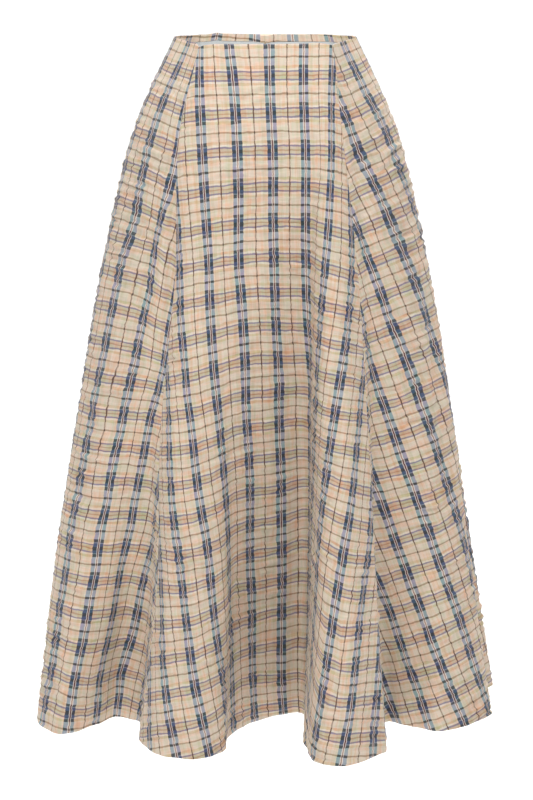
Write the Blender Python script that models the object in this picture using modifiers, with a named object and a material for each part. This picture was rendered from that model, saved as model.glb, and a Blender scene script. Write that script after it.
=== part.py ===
"""Midi skirt with five flared panels, a waist tape and a concealed zip, held open at the waist.

Metres, +Z up. The origin is the middle of the waist opening and the front faces -Y. Left and
right in the names are as seen from the front, and right is +X. The cloth is a wall lofted
through cross-sections. Each section is a smooth curve through the seams, crests and valleys of
the folds at that drop below the waist.
"""
import math

import bmesh
import bpy
import numpy as np
from mathutils import Matrix, Vector

# Driving sizes
SKIRT_DROP = 0.93          # waist edge to hem, straight down
CLOTH_WALL = 0.0013
SEAM_GAP = 0.0003
TAPE_WALL = 0.0010
TAPE_TOP = 0.010           # drop of the waist tape's upper edge
TAPE_BOTTOM = 0.034        # drop of its lower edge
TAPE_BENDS = (0.0012, 0.0118, 0.0150)    # from the centre back: its end, and its step over a zip tape
TAPE_CLEAR = 0.0005        # between the cloth and the waist tape
LOWER_ROWS = 19            # rows of faces between the waist tape and the hem
FRONT_STEPS = 4            # faces between two fold lines of the front panel
OTHER_STEPS = 3            # the same on the side and back panels
SHARP_ANGLE = 50           # degrees: a wall's cut edges stay sharp, its folds are shaded smooth
CORNER_LIMIT = 0.75        # how far a corner may thin the wall before it is lengthened no more

# Zip
SLIT_HALF = 0.0009         # half of the slit that the slider's neck stands in
ZIP_TAPE_TOP = 0.003
ZIP_TAPE_LAST_ROW = 7      # the zip tapes end on this row of the walls
ZIP_TAPE_NEAR = 0.0010     # from the centre back to the near edge of a zip tape
ZIP_TAPE_FAR = 0.0110
ZIP_TAPE_WALL = 0.0009
SLIDER_DROP = 0.0052       # where the slider's eye stands, below the waist edge
SLIDER_BODY = (0.0070, 0.0022, 0.0090)
NECK_THICK = 0.0010
NECK_TALL = 0.0046
EYE_OUT = 0.0026           # from the cloth to the middle of the eye
EYE_RADIUS = 0.0023
EYE_HOLE = 0.0012
EYE_SIDES = 20
PULL_THICK = 0.0012
PULL_BAR = 0.0012
PULL_WINDOW = (0.0028, 0.0034)
PULL_TOP_WIDTH = 0.0056
PULL_LOW_WIDTH = 0.0072
PULL_LENGTH = 0.0240
PULL_ROUND_STEPS = 10

# Drops at which the fold lines below are given: waist, hip, and four more down to the hem
LEVELS = (0.0, 0.10, 0.29, 0.50, 0.72, SKIRT_DROP)

# A fold line runs down the skirt: its name, how far the waist edge rises or dips there,
# and its x and y at each of the six levels.
FRONT_LINES = (
    ("seam_left", -0.004,
     (-0.086, -0.110, -0.118, -0.139, -0.146, -0.171),
     (-0.083, -0.112, -0.134, -0.146, -0.152, -0.160)),
    ("left_lobe_shoulder", -0.001,
     (-0.074, -0.097, -0.106, -0.124, -0.126, -0.143),
     (-0.0855, -0.120, -0.146, -0.168, -0.190, -0.213)),
    ("left_lobe_crest", 0.000,
     (-0.052, -0.070, -0.082, -0.092, -0.092, -0.091),
     (-0.086, -0.125, -0.155, -0.178, -0.207, -0.230)),
    ("left_lobe_flank", 0.000,
     (-0.032, -0.044, -0.055, -0.060, -0.055, -0.057),
     (-0.0865, -0.127, -0.157, -0.170, -0.186, -0.203)),
    ("left_lobe_hollow", 0.000,
     (-0.018, -0.026, -0.034, -0.043, -0.042, -0.048),
     (-0.0868, -0.1277, -0.154, -0.158, -0.152, -0.142)),
    ("centre", 0.000,
     (0.000, 0.000, 0.000, -0.004, -0.008, -0.012),
     (-0.087, -0.128, -0.148, -0.134, -0.110, -0.085)),
    ("centre_valley", 0.001,
     (0.058, 0.062, 0.056, 0.054, 0.052, 0.048),
     (-0.0868, -0.126, -0.132, -0.108, -0.078, -0.050)),
    ("right_lobe_flank", 0.002,
     (0.066, 0.071, 0.068, 0.064, 0.061, 0.053),
     (-0.0866, -0.128, -0.155, -0.160, -0.162, -0.165)),
    ("right_lobe_shoulder", 0.001,
     (0.072, 0.079, 0.081, 0.078, 0.074, 0.066),
     (-0.086, -0.127, -0.166, -0.192, -0.215, -0.238)),
    ("right_lobe_crest", 0.000,
     (0.080, 0.090, 0.100, 0.104, 0.106, 0.101),
     (-0.0855, -0.122, -0.162, -0.201, -0.232, -0.257)),
    ("seam_right", -0.002,
     (0.0885, 0.100, 0.122, 0.137, 0.149, 0.163),
     (-0.083, -0.115, -0.140, -0.165, -0.188, -0.203)),
)
RIGHT_LINES = (
    ("valley_behind_seam", 0.000,
     (0.095, 0.110, 0.132, 0.143, 0.151, 0.168),
     (-0.066, -0.104, -0.128, -0.132, -0.115, -0.090)),
    ("valley_front", 0.000,
     (0.101, 0.122, 0.148, 0.160, 0.170, 0.190),
     (-0.048, -0.090, -0.118, -0.122, -0.108, -0.098)),
    ("side_lobe_crest", 0.001,
     (0.111, 0.147, 0.186, 0.211, 0.224, 0.236),
     (-0.025, -0.058, -0.080, -0.099, -0.115, -0.125)),
    ("side", 0.002,
     (0.1225, 0.169, 0.2185, 0.255, 0.284, 0.315),
     (0.003, 0.000, -0.010, -0.032, -0.048, -0.056)),
    ("side_notch", 0.002,
     (0.119, 0.165, 0.213, 0.243, 0.270, 0.303),
     (0.028, 0.035, 0.035, 0.020, 0.010, 0.013)),
    ("back_lobe_crest", 0.001,
     (0.112, 0.155, 0.205, 0.2575, 0.294, 0.329),
     (0.048, 0.065, 0.085, 0.062, 0.074, 0.076)),
    ("back_valley", 0.000,
     (0.101, 0.133, 0.160, 0.190, 0.215, 0.245),
     (0.066, 0.092, 0.122, 0.130, 0.132, 0.130)),
)
LEFT_LINES = (
    ("back_valley", 0.000,
     (-0.100, -0.130, -0.160, -0.185, -0.205, -0.225),
     (0.066, 0.092, 0.125, 0.135, 0.135, 0.130)),
    ("back_lobe_crest", 0.001,
     (-0.110, -0.152, -0.195, -0.232, -0.265, -0.290),
     (0.048, 0.065, 0.090, 0.105, 0.120, 0.130)),
    ("side_notch", 0.002,
     (-0.118, -0.164, -0.214, -0.250, -0.284, -0.304),
     (0.028, 0.035, 0.040, 0.035, 0.025, 0.010)),
    ("side", 0.002,
     (-0.1215, -0.1685, -0.218, -0.2555, -0.290, -0.3155),
     (0.003, 0.000, -0.008, -0.020, -0.047, -0.082)),
    ("side_lobe_crest", 0.001,
     (-0.110, -0.148, -0.185, -0.215, -0.245, -0.279),
     (-0.025, -0.055, -0.078, -0.096, -0.116, -0.136)),
    ("front_ridge", 0.000,
     (-0.099, -0.128, -0.144, -0.166, -0.185, -0.212),
     (-0.048, -0.088, -0.120, -0.128, -0.107, -0.082)),
    ("valley_behind_seam", 0.000,
     (-0.092, -0.118, -0.127, -0.150, -0.160, -0.176),
     (-0.066, -0.103, -0.128, -0.133, -0.105, -0.080)),
)

# Finishes: base colour, roughness, metallic
FINISHES = {
    "check_cloth": ((0.72, 0.62, 0.50, 1.0), 0.85, 0.0),
    "pale_tape": ((0.66, 0.68, 0.70, 1.0), 0.80, 0.0),
    "zip_tape": ((0.70, 0.64, 0.54, 1.0), 0.80, 0.0),
    "painted_metal": ((0.68, 0.62, 0.52, 1.0), 0.35, 0.8),
}


def smooth_through(knots, values, at):
    """Smooth curve through the values at the knots, read at the places in `at`."""
    knots = np.asarray(knots, float)
    values = np.asarray(values, float)
    spans = np.diff(knots)[:, None]
    slopes = np.diff(values, axis=0) / spans
    inner = (slopes[:-1] * spans[1:] + slopes[1:] * spans[:-1]) / (spans[:-1] + spans[1:])
    tangents = np.vstack([slopes[:1], inner, slopes[-1:]])
    at = np.asarray(at, float)
    span = np.clip(np.searchsorted(knots, at, side="right") - 1, 0, len(knots) - 2)
    width = spans[span]
    t = (at - knots[span])[:, None] / width
    start = values[span] * (1 + 2 * t) * (1 - t) ** 2 + tangents[span] * width * t * (1 - t) ** 2
    end = values[span + 1] * t * t * (3 - 2 * t) + tangents[span + 1] * width * t * t * (t - 1)
    return start + end


def line_point(line, drop):
    """Where a fold line passes at this drop below the waist."""
    _, lift, xs, ys = line
    x, y = smooth_through(LEVELS, np.column_stack([xs, ys]), [drop])[0]
    fade = 1 - drop / SKIRT_DROP
    return (x, y, lift * fade - drop)


def section(lines, drop, steps):
    """One panel's edge-to-edge curve at this drop, with `steps` faces between fold lines."""
    guide = np.array([line_point(line, drop) for line in lines])
    chords = np.linalg.norm(np.diff(guide, axis=0), axis=1)
    knots = np.concatenate([[0.0], np.cumsum(np.sqrt(chords))])
    places = np.interp(np.arange((len(guide) - 1) * steps + 1) / steps, np.arange(len(guide)), knots)
    return smooth_through(knots, guide, places)


def turned_to_back(line):
    """The same fold on the back, which the photograph doesn't show: half a turn round."""
    name, lift, xs, ys = line
    return ("back_" + name, lift, tuple(-x for x in xs), tuple(-y for y in ys))


def panel_lines():
    """Fold lines of each panel, counterclockwise from the front's left seam."""
    back = [turned_to_back(line) for line in FRONT_LINES]
    middle = [line[0] for line in FRONT_LINES].index("centre")
    return {
        "front_panel": (FRONT_LINES, FRONT_STEPS),
        "side_panel_right": ((FRONT_LINES[-1], *RIGHT_LINES, back[0]), OTHER_STEPS),
        "back_panel_right": (back[:middle + 1], OTHER_STEPS),
        "back_panel_left": (back[middle:], OTHER_STEPS),
        "side_panel_left": ((back[-1], *LEFT_LINES, FRONT_LINES[0]), OTHER_STEPS),
    }


def row_drops():
    """Drops of the walls' rows: the waist edge, the two edges of the tape, then even rows."""
    lower = np.linspace(TAPE_BOTTOM, SKIRT_DROP, LOWER_ROWS + 1)
    return np.concatenate([[0.0, TAPE_TOP], lower])


def whole_ring():
    """Outer points of the whole skirt, row by row, and each panel's columns in them."""
    drops = row_drops()
    columns = {}
    pieces = []
    first = 0
    for name, (lines, steps) in panel_lines().items():
        grid = np.array([section(lines, drop, steps) for drop in drops])
        columns[name] = np.arange(first, first + grid.shape[1])
        pieces.append(grid[:, :-1])
        first += grid.shape[1] - 1
    ring = np.concatenate(pieces, axis=1)
    columns = {name: indices % ring.shape[1] for name, indices in columns.items()}
    return ring, columns


def unit(vectors):
    return vectors / np.linalg.norm(vectors, axis=-1, keepdims=True)


def outward(ring):
    """Outward direction at each point, lengthened at corners so that a wall keeps its thickness."""
    ahead = unit(np.roll(ring, -1, axis=1) - ring)
    behind = unit(ring - np.roll(ring, 1, axis=1))
    across = ahead + behind
    half_corner = np.clip(np.linalg.norm(across, axis=-1, keepdims=True) / 2, CORNER_LIMIT, 1.0)
    down = np.gradient(ring, axis=0)
    return unit(np.cross(down, across)) / half_corner


def object_from(name, vertices, faces, finish, collection):
    mesh = bpy.data.meshes.new(name)
    mesh.from_pydata([tuple(v) for v in vertices], [], faces)
    mesh.validate()
    mesh.update()
    made = bpy.data.objects.new(name, mesh)
    mesh.materials.append(finish)
    collection.objects.link(made)
    return made


def wall(name, outer, inner, finish, collection):
    """A closed wall between two grids of points that face out and in."""
    rows, cols = outer.shape[:2]
    vertices = np.concatenate([outer.reshape(-1, 3), inner.reshape(-1, 3)])
    inside = rows * cols

    def spot(row, col, side=0):
        return side * inside + row * cols + col

    faces = []
    for row in range(rows - 1):
        for col in range(cols - 1):
            corners = ((row, col), (row + 1, col), (row + 1, col + 1), (row, col + 1))
            faces.append([spot(*c) for c in corners])
            faces.append([spot(*c, 1) for c in reversed(corners)])
    for col in range(cols - 1):
        faces.append([spot(0, col), spot(0, col + 1), spot(0, col + 1, 1), spot(0, col, 1)])
        last = rows - 1
        faces.append([spot(last, col + 1), spot(last, col), spot(last, col, 1), spot(last, col + 1, 1)])
    for row in range(rows - 1):
        faces.append([spot(row + 1, 0), spot(row, 0), spot(row, 0, 1), spot(row + 1, 0, 1)])
        last = cols - 1
        faces.append([spot(row, last), spot(row + 1, last), spot(row + 1, last, 1), spot(row, last, 1)])
    made = object_from(name, vertices, faces, finish, collection)
    made.data.shade_smooth()
    made.data.set_sharp_from_angle(angle=math.radians(SHARP_ANGLE))
    return made


def edge_gaps(name, drops):
    """How far a panel's two side edges stay back from their seams, row by row."""
    seam = np.full(len(drops), SEAM_GAP / 2)
    slit = np.where(drops <= TAPE_TOP, SLIT_HALF, SEAM_GAP / 2)
    starts = slit if name == "back_panel_left" else seam
    ends = slit if name == "back_panel_right" else seam
    return starts, ends


def add_panel(name, ring, facing, columns, drops, finish, collection):
    outer = ring[:, columns].copy()
    inner = outer - facing[:, columns] * CLOTH_WALL
    starts, ends = edge_gaps(name, drops)
    into_start = unit(outer[:, 1] - outer[:, 0]) * starts[:, None]
    into_end = unit(outer[:, -2] - outer[:, -1]) * ends[:, None]
    for grid in (outer, inner):
        grid[:, 0] += into_start
        grid[:, -1] += into_end
    return wall(name, outer, inner, finish, collection)


def travelled(points):
    """How far along a row of points each one lies."""
    return np.concatenate([[0.0], np.cumsum(np.linalg.norm(np.diff(points, axis=0), axis=1))])


def along(points, values, distance):
    """The value at this distance along a row of points."""
    lengths = travelled(points)
    return np.array([np.interp(distance, lengths, values[:, k]) for k in range(values.shape[1])])


def add_waist_tape(ring, facing, centre_back, finish, collection):
    """A flat tape inside the waist, all round. Its ends lie over the zip tapes, close to the slit."""
    rows = (1, 2)
    count = ring.shape[1]
    order = (centre_back + np.arange(count + 1)) % count
    outer = []
    inner = []
    for row in rows:
        points = ring[row, order]
        outs = facing[row, order]
        lengths = travelled(points)
        whole = lengths[-1]
        between = lengths[(lengths > TAPE_BENDS[-1]) & (lengths < whole - TAPE_BENDS[-1])]
        marks = np.concatenate([TAPE_BENDS, between, [whole - bend for bend in reversed(TAPE_BENDS)]])
        spots = np.array([along(points, points, mark) for mark in marks])
        ways = np.array([along(points, outs, mark) for mark in marks])
        to_end = np.minimum(marks, whole - marks)
        over_zip = np.interp(to_end, TAPE_BENDS[1:], (ZIP_TAPE_WALL + SEAM_GAP, 0.0))[:, None]
        outer.append(spots - ways * (CLOTH_WALL + TAPE_CLEAR + over_zip))
        inner.append(spots - ways * (CLOTH_WALL + TAPE_CLEAR + over_zip + TAPE_WALL))
    return wall("waist_tape", np.array(outer), np.array(inner), finish, collection)


def add_zip_tape(name, ring, facing, columns, finish, collection):
    """One of the zip's two tapes, behind the back panel whose edge `columns` start from."""
    top = ZIP_TAPE_TOP / TAPE_TOP
    outer = []
    inner = []
    for row in range(ZIP_TAPE_LAST_ROW + 1):
        points = ring[row, columns]
        outs = facing[row, columns]
        if row == 0:
            points = points * (1 - top) + ring[1, columns] * top
            outs = outs * (1 - top) + facing[1, columns] * top
        across = (ZIP_TAPE_NEAR, ZIP_TAPE_FAR)
        spots = np.array([along(points, points, distance) for distance in across])
        # Both edges take the direction of the centre back, so the tape lies flat and clear.
        back = outs[0] * (CLOTH_WALL + SEAM_GAP)
        outer.append(spots - back)
        inner.append(spots - back - outs[0] * ZIP_TAPE_WALL)
    outer = np.array(outer)
    inner = np.array(inner)
    if name == "zip_tape_right":
        outer = outer[:, ::-1]
        inner = inner[:, ::-1]
    return wall(name, outer, inner, finish, collection)


def box_into(bm, size, middle):
    made = bmesh.ops.create_cube(bm, size=1.0)
    bmesh.ops.scale(bm, vec=Vector(size), verts=made["verts"])
    bmesh.ops.translate(bm, vec=Vector(middle), verts=made["verts"])


def cylinder_into(bm, radius, depth, middle):
    """A round piece whose axis lies along X."""
    made = bmesh.ops.create_cone(bm, cap_ends=True, segments=EYE_SIDES, radius1=radius,
                                 radius2=radius, depth=depth, matrix=Matrix.Rotation(math.pi / 2, 4, "Y"))
    bmesh.ops.translate(bm, vec=Vector(middle), verts=made["verts"])


def mesh_object(name, fill, place, collection):
    """An object placed by a matrix, whose mesh `fill` builds in its own frame."""
    bm = bmesh.new()
    fill(bm)
    mesh = bpy.data.meshes.new(name)
    bm.to_mesh(mesh)
    bm.free()
    made = bpy.data.objects.new(name, mesh)
    collection.objects.link(made)
    made.matrix_world = place
    return made


def add_boolean(target, other, operation):
    step = target.modifiers.new(other.name, "BOOLEAN")
    step.operation = operation
    step.solver = "EXACT"
    step.object = other
    other.hide_render = True
    other.display_type = "WIRE"


def add_slider(place, finish, collection, cutters):
    """The slider: a body inside the tapes, a neck through the slit and an eye outside."""
    body_out = -(CLOTH_WALL + SEAM_GAP + ZIP_TAPE_WALL + SEAM_GAP)
    body_middle = body_out - SLIDER_BODY[1] / 2
    neck_start = body_out - SLIDER_BODY[1] / 2
    neck_long = EYE_OUT - neck_start
    slider = mesh_object(
        "zip_slider", lambda bm: box_into(bm, SLIDER_BODY, (0.0, body_middle, 0.0)), place, collection)
    slider.data.materials.append(finish)
    round_off = slider.modifiers.new("rounded", "BEVEL")
    round_off.width = 0.0005
    round_off.segments = 2
    neck = mesh_object(
        "slider_neck",
        lambda bm: box_into(bm, (NECK_THICK, neck_long, NECK_TALL), (0.0, neck_start + neck_long / 2, 0.0)),
        place, cutters)
    eye = mesh_object(
        "slider_eye", lambda bm: cylinder_into(bm, EYE_RADIUS, NECK_THICK, (0.0, EYE_OUT, 0.0)),
        place, cutters)
    hole = mesh_object(
        "slider_hole", lambda bm: cylinder_into(bm, EYE_HOLE, 3 * NECK_THICK, (0.0, EYE_OUT, 0.0)),
        place, cutters)
    add_boolean(slider, neck, "UNION")
    add_boolean(slider, eye, "UNION")
    add_boolean(slider, hole, "DIFFERENCE")
    return slider


def pull_outline():
    """Outline of the pull tab, hanging from its bar at the origin, in X and Z."""
    top = PULL_BAR / 2
    low_radius = PULL_LOW_WIDTH / 2
    low_middle = top - PULL_LENGTH + low_radius
    outline = [(PULL_TOP_WIDTH / 2, top), (-PULL_TOP_WIDTH / 2, top)]
    for step in range(PULL_ROUND_STEPS + 1):
        turn = math.pi + math.pi * step / PULL_ROUND_STEPS
        outline.append((low_radius * math.cos(turn), low_middle + low_radius * math.sin(turn)))
    return outline


def flat_spline(curve, points):
    spline = curve.splines.new("POLY")
    spline.points.add(len(points) - 1)
    for spot, (x, z) in zip(spline.points, points):
        spot.co = (x, z, 0.0, 1.0)
    spline.use_cyclic_u = True


def add_pull(place, finish, collection):
    """The pull tab: a flat teardrop with a window, whose top bar hangs in the slider's eye."""
    curve = bpy.data.curves.new("zip_pull", "CURVE")
    curve.dimensions = "2D"
    curve.fill_mode = "BOTH"
    curve.extrude = PULL_THICK / 2
    flat_spline(curve, pull_outline())
    half = PULL_WINDOW[0] / 2
    window_top = -PULL_BAR / 2
    window_low = window_top - PULL_WINDOW[1]
    flat_spline(curve, [(-half, window_top), (half, window_top), (half, window_low), (-half, window_low)])
    pull = bpy.data.objects.new("zip_pull", curve)
    curve.materials.append(finish)
    collection.objects.link(pull)
    stand_up = Matrix.Rotation(math.pi / 2, 4, "X")
    pull.matrix_world = place @ Matrix.Translation((0.0, EYE_OUT, 0.0)) @ stand_up
    return pull


def slider_place(ring, facing, centre_back):
    """Frame of the slider: X across, Y out of the cloth, Z up along it."""
    share = SLIDER_DROP / TAPE_TOP
    top, low = ring[0, centre_back], ring[1, centre_back]
    spot = Vector(top * (1 - share) + low * share)
    up = Vector(top - low).normalized()
    lean = math.atan2(-up.y, up.z)
    return Matrix.Translation(spot) @ Matrix.Rotation(lean, 4, "X")


def make_finish(name):
    colour, roughness, metallic = FINISHES[name]
    material = bpy.data.materials.new(name)
    material.use_nodes = True
    shader = material.node_tree.nodes["Principled BSDF"]
    shader.inputs["Base Color"].default_value = colour
    shader.inputs["Roughness"].default_value = roughness
    shader.inputs["Metallic"].default_value = metallic
    return material


def new_collection(name):
    made = bpy.data.collections.new(name)
    bpy.context.scene.collection.children.link(made)
    return made


def main():
    for old in list(bpy.data.objects):
        bpy.data.objects.remove(old)
    skirt = new_collection("midi_skirt")
    cutters = new_collection("cutters")
    finishes = {name: make_finish(name) for name in FINISHES}

    drops = row_drops()
    ring, columns = whole_ring()
    facing = outward(ring)
    for name, indices in columns.items():
        add_panel(name, ring, facing, indices, drops, finishes["check_cloth"], skirt)

    centre_back = columns["back_panel_left"][0]
    add_waist_tape(ring, facing, centre_back, finishes["pale_tape"], skirt)
    left = columns["back_panel_left"]
    right = columns["back_panel_right"][::-1]
    add_zip_tape("zip_tape_left", ring, facing, left, finishes["zip_tape"], skirt)
    add_zip_tape("zip_tape_right", ring, facing, right, finishes["zip_tape"], skirt)

    place = slider_place(ring, facing, centre_back)
    add_slider(place, finishes["painted_metal"], skirt, cutters)
    add_pull(place, finishes["painted_metal"], skirt)


main()
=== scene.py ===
# %% [markdown]
# # A midi skirt in crinkled check cloth
# The real skirt is sewn from five flared panels of thin, crinkled cotton: one front, one round each
# side and two at the back, with a zip between them. It hangs from the waist in deep soft folds.
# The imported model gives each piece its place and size. This script gives the cloth its creases,
# its woven check and its finish, and sets up the floor, the light and the camera.

# %% Load the frame
import math

import bpy
import numpy as np
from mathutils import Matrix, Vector, noise


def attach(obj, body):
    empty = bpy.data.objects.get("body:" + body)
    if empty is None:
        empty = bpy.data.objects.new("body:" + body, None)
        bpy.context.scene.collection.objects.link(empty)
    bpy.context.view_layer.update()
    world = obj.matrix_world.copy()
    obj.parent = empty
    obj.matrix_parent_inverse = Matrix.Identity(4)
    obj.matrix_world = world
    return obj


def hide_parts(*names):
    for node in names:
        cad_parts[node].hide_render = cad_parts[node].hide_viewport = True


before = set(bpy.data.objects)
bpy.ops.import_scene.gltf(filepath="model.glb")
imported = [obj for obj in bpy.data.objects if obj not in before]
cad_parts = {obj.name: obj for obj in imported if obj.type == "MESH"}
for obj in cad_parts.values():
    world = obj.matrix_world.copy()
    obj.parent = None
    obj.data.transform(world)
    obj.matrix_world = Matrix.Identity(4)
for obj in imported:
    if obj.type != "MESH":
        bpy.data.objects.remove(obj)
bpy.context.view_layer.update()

# %% [markdown]
# ## The form of the worn skirt
# Cloth that hangs in folds could be simulated, but a simulation finds folds of its own, and these
# folds should be where the photographed ones are. So the form is lofted: each fold line below is
# followed down the skirt at six levels, and every cross-section is a smooth curve through them.
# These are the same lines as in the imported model, so the cloth lies on its solids.

# %% Levels and the front's fold lines
SKIRT_DROP = 0.93
LEVELS = (0.0, 0.10, 0.29, 0.50, 0.72, SKIRT_DROP)

# Name, how far the waist edge rises or dips there, then x and y at each level
FRONT_LINES = (
    ("seam_left", -0.004,
     (-0.086, -0.110, -0.118, -0.139, -0.146, -0.171),
     (-0.083, -0.112, -0.134, -0.146, -0.152, -0.160)),
    ("left_lobe_shoulder", -0.001,
     (-0.074, -0.097, -0.106, -0.124, -0.126, -0.143),
     (-0.0855, -0.120, -0.146, -0.168, -0.190, -0.213)),
    ("left_lobe_crest", 0.000,
     (-0.052, -0.070, -0.082, -0.092, -0.092, -0.091),
     (-0.086, -0.125, -0.155, -0.178, -0.207, -0.230)),
    ("left_lobe_flank", 0.000,
     (-0.032, -0.044, -0.055, -0.060, -0.055, -0.057),
     (-0.0865, -0.127, -0.157, -0.170, -0.186, -0.203)),
    ("left_lobe_hollow", 0.000,
     (-0.018, -0.026, -0.034, -0.043, -0.042, -0.048),
     (-0.0868, -0.1277, -0.154, -0.158, -0.152, -0.142)),
    ("centre", 0.000,
     (0.000, 0.000, 0.000, -0.004, -0.008, -0.012),
     (-0.087, -0.128, -0.148, -0.134, -0.110, -0.085)),
    ("centre_valley", 0.001,
     (0.058, 0.062, 0.056, 0.054, 0.052, 0.048),
     (-0.0868, -0.126, -0.132, -0.108, -0.078, -0.050)),
    ("right_lobe_flank", 0.002,
     (0.066, 0.071, 0.068, 0.064, 0.061, 0.053),
     (-0.0866, -0.128, -0.155, -0.160, -0.162, -0.165)),
    ("right_lobe_shoulder", 0.001,
     (0.072, 0.079, 0.081, 0.078, 0.074, 0.066),
     (-0.086, -0.127, -0.166, -0.192, -0.215, -0.238)),
    ("right_lobe_crest", 0.000,
     (0.080, 0.090, 0.100, 0.104, 0.106, 0.101),
     (-0.0855, -0.122, -0.162, -0.201, -0.232, -0.257)),
    ("seam_right", -0.002,
     (0.0885, 0.100, 0.122, 0.137, 0.149, 0.163),
     (-0.083, -0.115, -0.140, -0.165, -0.188, -0.203)),
)

# %% The sides' fold lines
RIGHT_LINES = (
    ("valley_behind_seam", 0.000,
     (0.095, 0.110, 0.132, 0.143, 0.151, 0.168),
     (-0.066, -0.104, -0.128, -0.132, -0.115, -0.090)),
    ("valley_front", 0.000,
     (0.101, 0.122, 0.148, 0.160, 0.170, 0.190),
     (-0.048, -0.090, -0.118, -0.122, -0.108, -0.098)),
    ("side_lobe_crest", 0.001,
     (0.111, 0.147, 0.186, 0.211, 0.224, 0.236),
     (-0.025, -0.058, -0.080, -0.099, -0.115, -0.125)),
    ("side", 0.002,
     (0.1225, 0.169, 0.2185, 0.255, 0.284, 0.315),
     (0.003, 0.000, -0.010, -0.032, -0.048, -0.056)),
    ("side_notch", 0.002,
     (0.119, 0.165, 0.213, 0.243, 0.270, 0.303),
     (0.028, 0.035, 0.035, 0.020, 0.010, 0.013)),
    ("back_lobe_crest", 0.001,
     (0.112, 0.155, 0.205, 0.2575, 0.294, 0.329),
     (0.048, 0.065, 0.085, 0.062, 0.074, 0.076)),
    ("back_valley", 0.000,
     (0.101, 0.133, 0.160, 0.190, 0.215, 0.245),
     (0.066, 0.092, 0.122, 0.130, 0.132, 0.130)),
)
LEFT_LINES = (
    ("back_valley", 0.000,
     (-0.100, -0.130, -0.160, -0.185, -0.205, -0.225),
     (0.066, 0.092, 0.125, 0.135, 0.135, 0.130)),
    ("back_lobe_crest", 0.001,
     (-0.110, -0.152, -0.195, -0.232, -0.265, -0.290),
     (0.048, 0.065, 0.090, 0.105, 0.120, 0.130)),
    ("side_notch", 0.002,
     (-0.118, -0.164, -0.214, -0.250, -0.284, -0.304),
     (0.028, 0.035, 0.040, 0.035, 0.025, 0.010)),
    ("side", 0.002,
     (-0.1215, -0.1685, -0.218, -0.2555, -0.290, -0.3155),
     (0.003, 0.000, -0.008, -0.020, -0.047, -0.082)),
    ("side_lobe_crest", 0.001,
     (-0.110, -0.148, -0.185, -0.215, -0.245, -0.279),
     (-0.025, -0.055, -0.078, -0.096, -0.116, -0.136)),
    ("front_ridge", 0.000,
     (-0.099, -0.128, -0.144, -0.166, -0.185, -0.212),
     (-0.048, -0.088, -0.120, -0.128, -0.107, -0.082)),
    ("valley_behind_seam", 0.000,
     (-0.092, -0.118, -0.127, -0.150, -0.160, -0.176),
     (-0.066, -0.103, -0.128, -0.133, -0.105, -0.080)),
)


# %% Which lines each panel has
def turned_to_back(line):
    """The same fold on the back, half a turn round. The waist doesn't dip at the back seams."""
    name, lift, xs, ys = line
    return ("back_" + name, max(lift, 0.0), tuple(-x for x in xs), tuple(-y for y in ys))


back_lines = [turned_to_back(line) for line in FRONT_LINES]
middle = [line[0] for line in FRONT_LINES].index("centre")
PANELS = {
    "front_panel": FRONT_LINES,
    "side_panel_right": (FRONT_LINES[-1], *RIGHT_LINES, back_lines[0]),
    "back_panel_right": tuple(back_lines[:middle + 1]),
    "back_panel_left": tuple(back_lines[middle:]),
    "side_panel_left": (back_lines[-1], *LEFT_LINES, FRONT_LINES[0]),
}
for name, lines in PANELS.items():
    print(name, "runs from", lines[0][0], "to", lines[-1][0])


# %% Curves through the fold lines
def smooth_through(knots, values, at):
    """Smooth curve through the values at the knots, read at the places in `at`."""
    knots = np.asarray(knots, float)
    values = np.asarray(values, float)
    spans = np.diff(knots)[:, None]
    slopes = np.diff(values, axis=0) / spans
    inner = (slopes[:-1] * spans[1:] + slopes[1:] * spans[:-1]) / (spans[:-1] + spans[1:])
    tangents = np.vstack([slopes[:1], inner, slopes[-1:]])
    span = np.clip(np.searchsorted(knots, at, side="right") - 1, 0, len(knots) - 2)
    width = spans[span]
    t = (np.asarray(at) - knots[span])[:, None] / width
    start = values[span] * (1 + 2 * t) * (1 - t) ** 2 + tangents[span] * width * t * (1 - t) ** 2
    end = values[span + 1] * t * t * (3 - 2 * t) + tangents[span + 1] * width * t * t * (t - 1)
    return start + end


def cross_section(lines, drop, places):
    """Points of a panel at this drop. A place is a fold line's number, 2.5 halfway from 2 to 3."""
    guide = []
    for _, lift, xs, ys in lines:
        x, y = smooth_through(LEVELS, np.column_stack([xs, ys]), [drop])[0]
        guide.append((x, y, lift * (1 - drop / SKIRT_DROP) - drop))
    guide = np.array(guide)
    chords = np.linalg.norm(np.diff(guide, axis=0), axis=1)
    knots = np.concatenate([[0.0], np.cumsum(np.sqrt(chords))])
    return smooth_through(knots, guide, np.interp(places, np.arange(len(guide)), knots))


def travelled(points):
    """How far along a row of points each one lies."""
    return np.concatenate([[0.0], np.cumsum(np.linalg.norm(np.diff(points, axis=0), axis=1))])


# %% [markdown]
# ## A fine grid of cloth
# The crinkle of this cotton is about a centimetre from crest to crest, so the grid needs a row
# every 2 mm or so. Along the rows the crinkle is long and soft, and 7 mm is enough, with a few
# closer columns beside each seam, where the cloth dips into the stitching.

# %% Rows and columns
ROW_STEP = 0.0022
COLUMN_STEP = 0.0070
BESIDE_SEAM = (0.0015, 0.0032, 0.0052, 0.0080)
LOOKS = 40                  # samples between two fold lines, to measure along the hem

drops = np.linspace(0.0, SKIRT_DROP, round(SKIRT_DROP / ROW_STEP) + 1)


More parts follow.
